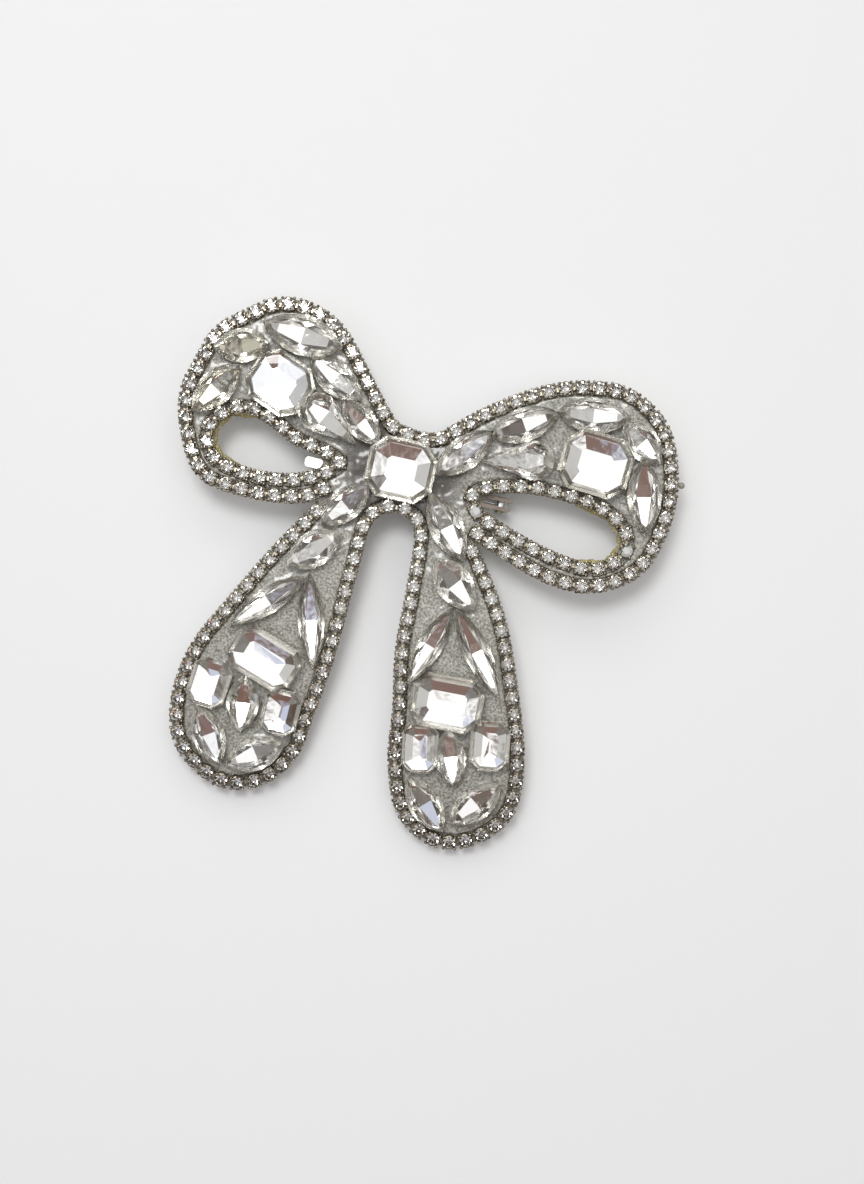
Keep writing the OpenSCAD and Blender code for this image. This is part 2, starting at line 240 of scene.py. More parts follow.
def relief(
    tree: NodeTree, height: NodeSocket, strength: float, depth_mm: float
) -> NodeSocket:
    """Adds a bump of this strength and depth and returns its normal."""
    return add_node(tree, "Bump", {
        "Height": height, "Strength": strength, "Distance": depth_mm * MM,
    }).outputs["Normal"]


def spread_over(
    tree: NodeTree,
    value: NodeSocket,
    source: tuple[float, float],
    target: tuple[float, float],
) -> NodeSocket:
    """Maps one range of a value onto another and returns the result."""
    return add_node(tree, "MapRange", {
        "Value": value, "From Min": source[0], "From Max": source[1],
        "To Min": target[0], "To Max": target[1],
    }).outputs["Result"]


def mixed(
    tree: NodeTree, share: NodeSocket, colour: object, other: object
) -> NodeSocket:
    """Mixes one colour into another by a share and returns the mix."""
    return add_node(tree, "Mix", {
        "Factor": share, 6: colour, 7: other,
    }, data_type="RGBA").outputs[2]


@dataclass(frozen=True)
class Finish:
    """A finish: what a surface is made of and how it was made."""

    name: str

    def build(self) -> Material:
        """Returns the finish as a material."""
        material = bpy.data.materials.new(self.name)
        material.use_nodes = True
        tree = material.node_tree
        tree.nodes.clear()
        shader = add_node(tree, "BsdfPrincipled", self.inputs(tree))
        add_node(tree, "OutputMaterial", {"Surface": shader.outputs["BSDF"]})
        return material

    def inputs(self, tree: NodeTree) -> Inputs:
        """The finish's shader inputs.

        Args:
            tree: the material's node tree.

        Returns:
            Each input's name with its value or the socket to link from.
        """
        raise NotImplementedError


@dataclass(frozen=True)
class CutCrystal(Finish):
    """Machine-cut lead crystal: water clear, with sharp polished facets."""

    colour: str = "#FFFFFF"

    def inputs(self, tree: NodeTree) -> Inputs:
        """Clear glass with no roughness, so that each facet holds one clean tone."""
        return {
            "Base Color": linear(self.colour),
            "Roughness": 0.0,
            "IOR": CRYSTAL_IOR,
            "Transmission Weight": 1.0,
        }


@dataclass(frozen=True)
class FilmedCrystal(Finish):
    """Crystal facets with a thin smear of glue on them, as on the crowns: grey and mottled."""

    colour: str = "#CBCAC2"
    mottle_mm: float = 0.4

    def inputs(self, tree: NodeTree) -> Inputs:
        """Slightly rough glass with a low uneven film."""
        place = object_place(tree)
        mottle = speckle(tree, place, self.mottle_mm, 4.0, 1.0)
        return {
            "Base Color": linear(self.colour),
            "Roughness": spread_over(tree, mottle, (0.35, 0.65), (0.0, 0.12)),
            "IOR": CRYSTAL_IOR,
            "Transmission Weight": 1.0,
            "Normal": relief(tree, mottle, 0.6, 0.1),
        }


@dataclass(frozen=True)
class SilverFoil(Finish):
    """Vacuum silvering on the back facets, a little uneven where the glue grips it."""

    colour: str = "#FCFBF9"
    ripple_mm: float = 1.6

    def inputs(self, tree: NodeTree) -> Inputs:
        """A near mirror with a faint ripple in its reflections."""
        place = object_place(tree)
        ripple = speckle(tree, place, self.ripple_mm, 1.5)
        return {
            "Base Color": linear(self.colour),
            "Metallic": 1.0,
            "Roughness": 0.03,
            "Normal": relief(tree, ripple, 0.05, 0.2),
        }


@dataclass(frozen=True)
class MilkyGlass(Finish):
    """A small crystal or bead that glue has turned milky."""

    colour: str = "#EEF0EE"

    def inputs(self, tree: NodeTree) -> Inputs:
        """Cloudy glass with a soft gloss."""
        return {
            "Base Color": linear(self.colour),
            "Roughness": 0.18,
            "Transmission Weight": 0.35,
            "Coat Weight": 0.5,
        }


@dataclass(frozen=True)
class AntiqueSilver(Finish):
    """Silver-plated brass chain, tarnished brown in the hollows and rubbed bright on the claws."""

    bright: str = "#D4CCB8"
    dark: str = "#4A3F31"
    blotch_mm: float = 0.5

    def inputs(self, tree: NodeTree) -> Inputs:
        """Metal whose tarnish follows small blotches and gets rougher where it is darker."""
        place = object_place(tree)
        blotch = speckle(tree, place, self.blotch_mm, 3.0)
        colour = ramp(tree, blotch, [(0.35, self.dark), (0.65, self.bright)])
        return {
            "Base Color": colour,
            "Metallic": 1.0,
            "Roughness": spread_over(tree, blotch, (0.35, 0.65), (0.5, 0.22)),
            "Normal": relief(tree, blotch, 0.3, 0.05),
        }


@dataclass(frozen=True)
class ClearGlue(Finish):
    """Clear two-part glue, poured over silver-grey mesh: grey, wet, slightly cloudy, and dark with
    grime about one centre."""

    light: str = "#C1BFB5"
    dark: str = "#757269"
    grime: str = "#3E372C"
    cloud_mm: float = 0.4
    grain_mm: float = 0.25
    centre: tuple[float, float, float] = (0.0, 0.0, 0.0)
    reach: tuple[float, float] = (9 * MM, 14 * MM)

    def inputs(self, tree: NodeTree) -> Inputs:
        """Cloudy grey that darkens towards the centre, under a wet gloss."""
        place = object_place(tree)
        cloud = speckle(tree, place, self.cloud_mm, 4.0)
        cloudy = ramp(tree, cloud, [(0.38, self.dark), (0.62, self.light)])
        away = add_node(tree, "VectorMath", {
            0: place, 1: self.centre,
        }, operation="DISTANCE").outputs["Value"]
        patch = spread_over(tree, away, self.reach, (0.95, 0.0))
        return {
            "Base Color": mixed(tree, patch, cloudy, linear(self.grime)),
            "Roughness": 0.28,
            "Coat Weight": 0.6,
            "Coat Roughness": 0.1,
            "Normal": relief(tree, speckle(tree, place, self.grain_mm), 0.25, 0.08),
        }


@dataclass(frozen=True)
class AgedGlue(Finish):
    """Clear glue that has yellowed where it stands thick."""

    colour: str = "#E2D59A"
    lump_mm: float = 0.8

    def inputs(self, tree: NodeTree) -> Inputs:
        """Wet, half see-through and slightly yellow."""
        place = object_place(tree)
        return {
            "Base Color": linear(self.colour),
            "Roughness": 0.12,
            "Transmission Weight": 0.7,
            "IOR": 1.5,
            "Normal": relief(tree, speckle(tree, place, self.lump_mm), 0.3, 0.1),
        }


@dataclass(frozen=True)
class WovenMesh(Finish):
    """Open woven mesh of silver-grey thread; the dark tone of the gaps between the threads is
    painted shade.
    """

    thread: str = "#B3AEA4"
    # the gap colour is painted shade in the holes between the threads
    gap: str = "#5E574D"
    pitch_mm: float = 0.42

    def inputs(self, tree: NodeTree) -> Inputs:
        """Two crossed sets of threads at 45 degrees, raised where they are threads, with painted
        shade in the gaps.
        """
        place = object_place(tree)
        turned = add_node(tree, "Mapping", {
            "Vector": place, "Rotation": (0, 0, math.radians(45)),
        }).outputs["Vector"]
        waves = [
            add_node(tree, "TexWave", {
                "Vector": turned, "Scale": math.tau / (self.pitch_mm * MM) / 20,
            }, bands_direction=direction, wave_profile="SIN").outputs["Fac"]
            for direction in ("X", "Y")
        ]
        thread = add_node(tree, "Math", {0: waves[0], 1: waves[1]}, operation="MAXIMUM")
        raised = thread.outputs["Value"]
        return {
            "Base Color": ramp(tree, raised, [(0.5, self.gap), (0.8, self.thread)]),
            "Roughness": 0.55,
            "Metallic": 0.3,
            "Normal": relief(tree, raised, 0.6, 0.1),
        }


@dataclass(frozen=True)
class WoolFelt(Finish):
    """Pressed felt: matt, with short tangled fibres."""

    light: str = "#DAD7CF"
    dark: str = "#B9B5AB"
    fibre_mm: float = 0.25

    def inputs(self, tree: NodeTree) -> Inputs:
        """Matt cloth with fine distorted noise for the fibres."""
        place = object_place(tree)
        fibre = speckle(tree, place, self.fibre_mm, 6.0, 2.0)
        return {
            "Base Color": ramp(tree, fibre, [(0.3, self.dark), (0.7, self.light)]),
            "Roughness": 0.95,
            "Sheen Weight": 0.3,
            "Normal": relief(tree, fibre, 0.8, 0.15),
        }


@dataclass(frozen=True)
class PlatedSteel(Finish):
    """Nickel-plated steel: drawn or stamped, with fine lines along X and light wear."""

    bright: str = "#D2D0CB"
    worn: str = "#A29A8C"
    line_mm: float = 0.06
    wear_mm: float = 1.8
    roughness: float = 0.25
    # the tarnish colour, laid on past a given X, is painted shade over the +X end of the pin
    tarnish: str = "#54453A"
    shade_from: float = 1.0
    shade_fade: float = 2.5 * MM

    def inputs(self, tree: NodeTree) -> Inputs:
        """Bright metal with long fine scratches and a few dull patches, with painted brown shade
        from one X on.
        """
        place = object_place(tree)
        along = add_node(tree, "Mapping", {
            "Vector": place, "Scale": (0.03, 1, 1),
        }).outputs["Vector"]
        wear = speckle(tree, place, self.wear_mm, 5.0)
        colour = ramp(tree, wear, [(0.3, self.worn), (0.5, self.bright)])
        x = add_node(tree, "SeparateXYZ", {"Vector": place}).outputs["X"]
        fade = (self.shade_from, self.shade_from + self.shade_fade)
        reach = spread_over(tree, x, fade, (0.0, 0.85))
        return {
            # painted shade: dark brown mixed in past the given X
            "Base Color": mixed(tree, reach, colour, linear(self.tarnish)),
            "Metallic": 1.0,
            "Roughness": self.roughness,
            "Normal": relief(tree, speckle(tree, along, self.line_mm), 0.15, 0.02),
        }


@dataclass(frozen=True)
class PlainBoard(Finish):
    """Matt card or paper, with a faint fibre."""

    colour: str = "#EFEFED"
    fleck_mm: float = 0.6

    def inputs(self, tree: NodeTree) -> Inputs:
        """One pale tone with a very low bump."""
        place = object_place(tree)
        return {
            "Base Color": linear(self.colour),
            "Roughness": 0.9,
            "Normal": relief(tree, speckle(tree, place, self.fleck_mm, 4.0), 0.1, 0.05),
        }


# ---- Stones ----------------------------------------------------------------------------------


class Cut(Enum):
    """The cuts of the large stones."""

    MARQUISE = "marquise"
    PEAR = "pear"
    OCTAGON = "octagon"


class Facet(IntEnum):
    """The material slots of a large stone: clear table, silvered back, filmed crown."""

    CLEAR = 0
    SILVERED = 1
    FILMED = 2


class SmallFacet(IntEnum):
    """The material slots of a small crystal."""

    CLEAR = 0
    SILVERED = 1
    # narrow back facets with dark brown foil: painted dark reflections
    RUBBED = 2
    MILKY = 3


@dataclass
class Seat:
    """Where a stone sits, read from its node.

    Its frame has +X along the stone, +Z out of its table and the origin in the middle of the
    girdle's lower edge.
    """

    frame: Matrix
    half_length: float
    half_width: float
    girdle: float
    crown: float
    pavilion: float


def table_normal(mesh: Mesh) -> Vector:
    """The direction that a stone's table faces: that of its highest face."""
    highest = max(mesh.polygons, key=lambda face: face.center.z)
    return highest.normal.copy().normalized()


def long_axis(mesh: Mesh, up: Vector, cut: Cut) -> Vector:
    """The direction of a stone's long side.

    Args:
        mesh: the stone's CAD mesh.
        up: the direction its table faces.
        cut: its cut, because an octagon's long side is a wall and the others have tips.

    Returns:
        A unit vector; on a pear it points at the tip.
    """
    if cut is Cut.OCTAGON:
        walls: dict[tuple[float, ...], float] = {}
        for face in mesh.polygons:
            if abs(face.normal.dot(up)) < 0.05:
                key = tuple(round(c, 2) for c in face.normal)
                walls[key] = walls.get(key, 0.0) + face.area
        side = Vector(max(walls, key=walls.get))
        return side.cross(up).normalized()
    points = [v.co - up * v.co.dot(up) for v in mesh.vertices]
    start = max(points, key=lambda p: (p - points[0]).length)
    end = max(points, key=lambda p: (p - start).length)
    axis = (end - start).normalized()
    if cut is Cut.PEAR:
        middle = (start + end) / 2
        lean = sum((p - middle).dot(axis) for p in points)
        axis = -axis if lean > 0 else axis
    return axis


def read_seat(node: Object, cut: Cut) -> Seat:
    """Reads a stone's place and sizes from its CAD node."""
    mesh = node.data
    up = table_normal(mesh)
    along = long_axis(mesh, up, cut)
    across = up.cross(along)
    local = [Vector((v.co.dot(along), v.co.dot(across), v.co.dot(up))) for v in mesh.vertices]
    low = Vector(min(p[i] for p in local) for i in range(3))
    high = Vector(max(p[i] for p in local) for i in range(3))
    reach = high.y - 0.02 * (high.y - low.y)
    waist = [p.z for p in local if p.y > reach]
    middle = (low + high) / 2
    middle.z = min(waist)
    origin = along * middle.x + across * middle.y + up * middle.z
    return Seat(
        frame=frame_matrix(along, across, up, origin),
        half_length=(high.x - low.x) / 2,
        half_width=(high.y - low.y) / 2,
        girdle=max(waist) - min(waist),
        crown=high.z - max(waist),
        pavilion=min(waist) - low.z,
    )


def marquise_point(turn: float, a: float, b: float) -> Vector:
    """A point on a marquise's outline, which is two arcs meeting at two tips."""
    r = (a * a + b * b) / (2 * b)
    x = a * math.cos(turn)
    y = math.sqrt(max(r * r - x * x, 0)) - (r - b)
    return Vector((x, math.copysign(max(y, 0), math.sin(turn)), 0))


def pear_point(turn: float, a: float, b: float) -> Vector:
    """A point on a pear's outline, which is round at -X and runs to a tip at +X."""
    centre = b - a
    tangent = math.acos(b / (2 * a - b))
    turn = (turn + math.pi) % math.tau - math.pi
    r = b if abs(turn) >= tangent else b / math.cos(tangent - abs(turn))
    return Vector((centre + r * math.cos(turn), r * math.sin(turn), 0))


@dataclass
class StoneCutter:
    """Cuts the faceted meshes of the large stones."""

    crystal: Material
    foil: Material
    filmed: Material
    girdle_corners: int = 16
    table_corners: int = 10
    table_scale: float = 0.78
    crown_steps: Sequence[tuple[float, float]] = ((0.22, 1.0),)
    pavilion_steps: Sequence[tuple[float, float]] = (
        (0.06, 0.06), (0.22, 0.19), (0.62, 0.275), (0.94, 0.285),
    )
    corner: float = 0.48
    point_depth: float = 0.52
    ridge_slope: float = math.radians(12.5)
    ridge: Sequence[tuple[float, float]] = ((0.0, 0.42), (0.62, 0.2), (-0.62, 0.2))
    sliver: float = 0.02
    backwards: float = -0.05
    table_facing: float = 0.97
    grow: dict[Cut, tuple[float, float]] = field(default_factory=lambda: {
        Cut.MARQUISE: (1.08, 1.18), Cut.PEAR: (1.1, 1.15), Cut.OCTAGON: (1.11, 1.11),
    })

    def corners(self, cut: Cut, seat: Seat) -> list[Vector]:
        """Every facet corner of a stone, in its seat's frame.

        The CAD stones keep clear of each other. Here each one grows until they sit edge to edge.
        """
        along, across = self.grow[cut]
        a, b = seat.half_length * along, seat.half_width * across
        depth = min(self.point_depth * b, seat.pavilion)
        top = seat.girdle
        if cut is Cut.OCTAGON:
            rings = [(0.0, 0.0), (0.0, top)]
            rings += [(d * b, top + h * seat.crown) for d, h in self.crown_steps]
            rings += [(d * b, -h * b) for d, h in self.pavilion_steps]
            return [p for inset, z in rings for p in self.octagon(a, b, inset, z)]
        outline = marquise_point if cut is Cut.MARQUISE else pear_point
        corners = self.ring(outline, self.girdle_corners, 1.0, a, b, 0.0)
        corners += self.ring(outline, self.girdle_corners, 1.0, a, b, top)
        corners += self.ring(outline, self.table_corners, self.table_scale, a, b, top + seat.crown)
        deepest = 0.0 if cut is Cut.MARQUISE else 0.5 * (b - a)
        for end, wide in self.ridge:
            x = deepest + abs(end) * (math.copysign(a, end) - deepest)
            z = max(depth - abs(x - deepest) * math.tan(self.ridge_slope), self.sliver * b)
            corners += [Vector((x, side * wide * b, -z)) for side in (-1, 1)]
        return corners

    @staticmethod
    def ring(
        outline: Callable, corners: int, scale: float, a: float, b: float, z: float
    ) -> list[Vector]:
        """The corners of one ring on a curved outline."""
        turns = (math.tau * i / corners for i in range(corners))
        return [outline(turn, a, b) * scale + Vector((0, 0, z)) for turn in turns]

    def octagon(self, a: float, b: float, inset: float, z: float) -> list[Vector]:
        """The corners of an octagon step, moved in evenly from the girdle."""
        cut_back = max(self.corner * b - inset * (2 - math.sqrt(2)), self.sliver * b)
        l, w = a - inset, b - inset
        quarter = [(l, w - cut_back), (l - cut_back, w)]
        return [
            Vector((x * sx, y * sy, z)) for sx in (1, -1) for sy in (1, -1) for x, y in quarter
        ]

    def cut(self, name: str, cut: Cut, seat: Seat) -> Object:
        """Cuts one stone: the hull of its corners, silvered below and filmed round the table."""
        bm = bmesh.new()
        verts = [bm.verts.new(corner) for corner in self.corners(cut, seat)]
        hull = bmesh.ops.convex_hull(bm, input=verts)
        inner = [e for e in hull["geom_interior"] if isinstance(e, BMVert)]
        bmesh.ops.delete(bm, geom=inner, context="VERTS")
        join_flat(bm, 1.5)
        for face in bm.faces:
            back = face.normal.z < self.backwards
            face.material_index = Facet.SILVERED if back else Facet.FILMED
            if face.normal.z > self.table_facing:
                face.material_index = Facet.CLEAR
        bmesh.ops.transform(bm, matrix=seat.frame, verts=bm.verts)
        return mesh_object(name, bm, (self.crystal, self.foil, self.filmed))


@dataclass
class Stones:
    """The 35 large stones."""

    lean: float = math.radians(1.1)
    seed: int = 5
    tints: dict[str, str] = field(default_factory=lambda: {
        "stone_left_loop_shoulder": "#FFFCE9",
        "stone_left_loop_side": "#FFFCE6",
        "stone_left_loop_octagon": "#F8FAFF",
    })
    octagons: frozenset[str] = frozenset(
        ["stone_knot", "stone_left_loop_octagon", "stone_right_loop_octagon"]
        + [f"stone_{side}_tail_{n}" for side in ("left", "right") for n in (5, 6, 8)]
    )

    def cut_of(self, node: str) -> Cut:
        """The cut of the stone that a node stands for."""
        if node in self.octagons:
            return Cut.OCTAGON
        return Cut.PEAR if node.endswith("_pear") else Cut.MARQUISE

    def build(self, nodes: Nodes) -> list[Object]:
        """Cuts every stone in place of its node."""
        clear, foil = CutCrystal("cut_crystal").build(), SilverFoil("silver_foil").build()
        filmed = FilmedCrystal("filmed_crystal").build()
        luck = random.Random(self.seed)
        made = []
        for name in sorted(n for n in nodes if n.startswith("stone_")):
            cut = self.cut_of(name)
            seat = read_seat(nodes[name], cut)
            way = luck.uniform(0, math.tau)
            tilt = luck.gauss(0, self.lean)
            seat.frame = seat.frame @ Matrix.Rotation(tilt, 4, (math.cos(way), math.sin(way), 0))
            crystal = clear
            if name in self.tints:
                crystal = CutCrystal(f"{name}_crystal", colour=self.tints[name]).build()
            piece = StoneCutter(crystal, foil, filmed).cut(f"{name}_cut", cut, seat)
            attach(piece, "root")
            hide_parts(name)
            made.append(piece)
        LOG.info("stones: %d", len(made))
        return made


# ---- Cup chain -------------------------------------------------------------------------------


@dataclass
class Island:
    """One separate solid of a node: its corners and the direction that its foot faces."""

    points: list[Vector]
    down: Vector

    def foot(self) -> Vector:
        """The middle of its foot."""
        lowest = max(p.dot(self.down) for p in self.points)
        ground = [p for p in self.points if p.dot(self.down) > lowest - 0.05 * MM]
        return Vector((min(p[i] for p in ground) + max(p[i] for p in ground)) / 2 for i in range(3))


def islands(node: Object) -> list[Island]:
    """The separate solids of a node, in a settled order."""
    bm = bmesh.new()
    bm.from_mesh(node.data)
    bmesh.ops.remove_doubles(bm, verts=bm.verts, dist=1e-6)
    seen: set[BMVert] = set()
    found = []
    for first in bm.verts:
        if first in seen:
            continue
        seen.add(first)
        stack, points, down = [first], [], Vector()
        while stack:
            vert = stack.pop()
            points.append(vert.co.copy())
            under = (f for f in vert.link_faces if f.normal.z < -0.7)
            down += sum((f.normal * f.calc_area() for f in under), Vector())
            for edge in vert.link_edges:
                other = edge.other_vert(vert)
                if other not in seen:
                    seen.add(other)
                    stack.append(other)
        found.append(Island(points, down.normalized()))
    bm.free()
    return sorted(found, key=lambda one: (round(one.points[0].x, 5), round(one.points[0].y, 5)))


@dataclass
class CupPlace:
    """One cup of a chain: the middle of its foot, its direction along the chain and its up."""

    foot: Vector
    up: Vector
    along: Vector = field(default_factory=lambda: Vector((1, 0, 0)))

    def frame(self) -> Matrix:
        """The cup's own frame, with +X along the chain."""
        across = self.up.cross(self.along).normalized()
        return frame_matrix(across.cross(self.up), across, self.up, self.foot)


@dataclass
class CupChain:
    """One run of cup chain: its nodes, in the order in which the run is laid."""

    nodes: Sequence[str]
    reach: float = 3.9 * MM
    places: dict[str, list[CupPlace]] = field(default_factory=dict)
    links: dict[str, list[Matrix]] = field(default_factory=dict)

    def read(self, nodes: Nodes) -> None:
        """Reads every cup of the run, then turns each one along the chain and finds the links."""
        every: list[tuple[str, CupPlace]] = []
        for name in self.nodes:
            self.places[name] = [CupPlace(cup.foot(), -cup.down) for cup in islands(nodes[name])]
            every += [(name, place) for place in self.places[name]]
            self.links[name] = []
        tree = KDTree(len(every))
        for i, (_, place) in enumerate(every):
            tree.insert(place.foot, i)
        tree.balance()
        for i, (name, place) in enumerate(every):
            near = [every[j][1] for _, j, d in tree.find_n(place.foot, 3) if 0 < d < self.reach]
            ends = [n.foot for n in near]
            if len(ends) < 2:
                ends.append(place.foot)
            place.along = (ends[0] - ends[1]).normalized()
            for _, j, d in tree.find_n(place.foot, 3):
                if i < j and d < self.reach:
                    self.links[name].append(self.link(place, every[j][1]))

    @staticmethod
    def link(one: CupPlace, other: CupPlace) -> Matrix:
        """The frame of the bar between two cups, scaled to the gap along X."""
        along = other.foot - one.foot
        up = (one.up + other.up).normalized()
        across = up.cross(along).normalized()
        return frame_matrix(along, across, up, (one.foot + other.foot) / 2)


@dataclass
class CupChains:
    """All the cup chain on the brooch, with the small crystals in it."""

    cup_r: float = 1.38 * MM
    bore_r: float = 1.18 * MM
    cup_h: float = 1.8 * MM
    claw_r: float = 0.3 * MM
    chaton_r: float = 1.2 * MM
    narrow: float = 0.2
    seat: float = 0.69
    lean: float = 2.2
    seed: int = 8
    milky: dict[str, Sequence[tuple[float, float]]] = field(default_factory=lambda: {
        "right_ring_chatons": ((0.04, 0.35), (1.0, 0.37)),
    })
    runs: Sequence[CupChain] = field(default_factory=lambda: [
        CupChain(("left_loop_cups", "right_loop_cups")),
        CupChain(("left_tail_cups", "right_tail_cups")),
        CupChain(("left_ring_cups",)),
        CupChain(("right_ring_cups",)),
    ])

    def cup_template(self) -> Mesh:
        """One cup: a flared wall with a seat, and four claws folded over the crystal."""
        bm = bmesh.new()
        lathe(bm, [
            (0.9 * self.cup_r, 0), (self.cup_r, 0.35 * self.cup_h),
            (self.cup_r, 0.72 * self.cup_h), (self.bore_r, 0.78 * self.cup_h),
            (0.8 * self.bore_r, 0.5 * self.cup_h),
        ], 12)
        for quarter in range(4):
            made = bmesh.ops.create_icosphere(bm, subdivisions=1, radius=self.claw_r)["verts"]
            bmesh.ops.scale(bm, vec=(1.0, 1.15, 1.7), verts=made)
            turn_about(bm, made, math.radians(-24), "Y")
            bmesh.ops.translate(bm, vec=(1.1 * self.cup_r, 0, 0.8 * self.cup_h), verts=made)
            turn_about(bm, made, math.radians(45 + 90 * quarter), "Z")
        shade_smooth(bm)
        return finish_mesh("cup_template", bm)

    def link_template(self) -> Mesh:
        """The bar between two cups, one unit long."""
        bm = bmesh.new()
        bmesh.ops.create_cube(bm, size=1)
        bmesh.ops.scale(bm, vec=(0.3, 0.7 * MM, 0.35 * MM), verts=bm.verts)
        bmesh.ops.translate(bm, vec=(0, 0, 0.45 * self.cup_h), verts=bm.verts)
        return finish_mesh("link_template", bm)

    def chaton_template(self) -> Mesh:
        """One small crystal: eight broad facets, and narrow ones whose foil carries painted dark
        reflections.
        """
        r, half = self.chaton_r, math.radians(10)
        bm = bmesh.new()
        for height in (0.16 * r, 0.0):
            for i in range(8):
                for turn in (math.tau * i / 8 - half, math.tau * i / 8 + half):
                    bm.verts.new((r * math.cos(turn), r * math.sin(turn), height))
        table = bmesh.ops.create_circle(bm, segments=8, radius=0.56 * r)["verts"]
        turn_about(bm, table, math.tau / 16, "Z")
        bmesh.ops.translate(bm, vec=(0, 0, 0.58 * r), verts=table)
        point = bmesh.ops.create_circle(bm, segments=8, radius=0.14 * r)["verts"]
        bmesh.ops.translate(bm, vec=(0, 0, -0.7 * r), verts=point)
        bmesh.ops.convex_hull(bm, input=bm.verts)
        join_flat(bm, 1)
        for face in bm.faces:
            if face.normal.z >= -0.05:
                face.material_index = SmallFacet.CLEAR
            # narrow back facets get the dark brown foil: painted dark reflections that break up the
            # bright crystal
            elif face.calc_area() < self.narrow * r * r and face.normal.z > -0.95:
                face.material_index = SmallFacet.RUBBED
            else:
                face.material_index = SmallFacet.SILVERED
        return finish_mesh("chaton_template", bm)

    def cloud_over(self, piece: Object, node: str) -> None:
        """Turns the crystals nearest to the milky places of a run milky."""
        low, high = (Vector(corner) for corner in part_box(node))
        for share in self.milky.get(node, ()):
            spot = part_way(low, high, share)
            nearest = min(piece.data.polygons, key=lambda f: (f.center.xy - spot).length)
            middle = nearest.center.xy
            for face in piece.data.polygons:
                if (face.center.xy - middle).length < 1.3 * self.chaton_r:
                    face.material_index = SmallFacet.MILKY

    def build(self, nodes: Nodes) -> None:
        """Builds the cups and the crystals of every run in place of their nodes."""
        silver = AntiqueSilver("antique_silver").build()
        crystal = CutCrystal("small_cut_crystal").build()
        foil = SilverFoil("small_silver_foil", colour="#E6E5E2").build()
        # dark brown foil for the narrow back facets: painted dark reflections, not rubbed foil
        rubbed = SilverFoil("painted_dark_foil", colour="#4A3D33").build()
        cup, link, chaton = self.cup_template(), self.link_template(), self.chaton_template()
        milky = MilkyGlass("milky_glass").build()
        luck = random.Random(self.seed)
        for run in self.runs:
            run.read(nodes)
            for name, places in run.places.items():
                bm = bmesh.new()
                scatter(bm, cup, [p.frame() for p in places])
                scatter(bm, link, run.links[name])
                self.place(mesh_object(f"{name}_chain", bm, (silver,)), name, "antique_chain")
                bm = bmesh.new()
                scatter(bm, chaton, [self.set_crystal(p, luck) for p in places])
                piece = mesh_object(f"{name[:-5]}_crystals", bm, (crystal, foil, rubbed, milky))
                self.cloud_over(piece, f"{name[:-5]}_chatons")
                self.place(piece, f"{name[:-5]}_chatons", "small_crystal")
                LOG.info("%s: %d cups", name, len(places))

    def set_crystal(self, place: CupPlace, luck: random.Random) -> Matrix:
        """The frame of a crystal in its cup, set by hand a little off square."""
        lean = math.radians(luck.gauss(0, self.lean))
        turn = Matrix.Rotation(luck.uniform(0, math.tau), 4, "Z")
        axis = (math.cos(luck.uniform(0, 6)), math.sin(luck.uniform(0, 6)), 0)
        tilt = Matrix.Rotation(lean, 4, axis)
        lift = Matrix.Translation((0, 0, self.seat * self.cup_h))
        return place.frame() @ lift @ turn @ tilt

    @staticmethod
    def place(piece: Object, node: str, slot: str) -> None:
        """Puts a piece in place of its node."""
        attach(piece, "root")
        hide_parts(node)


# ---- Bed -------------------------------------------------------------------------------------


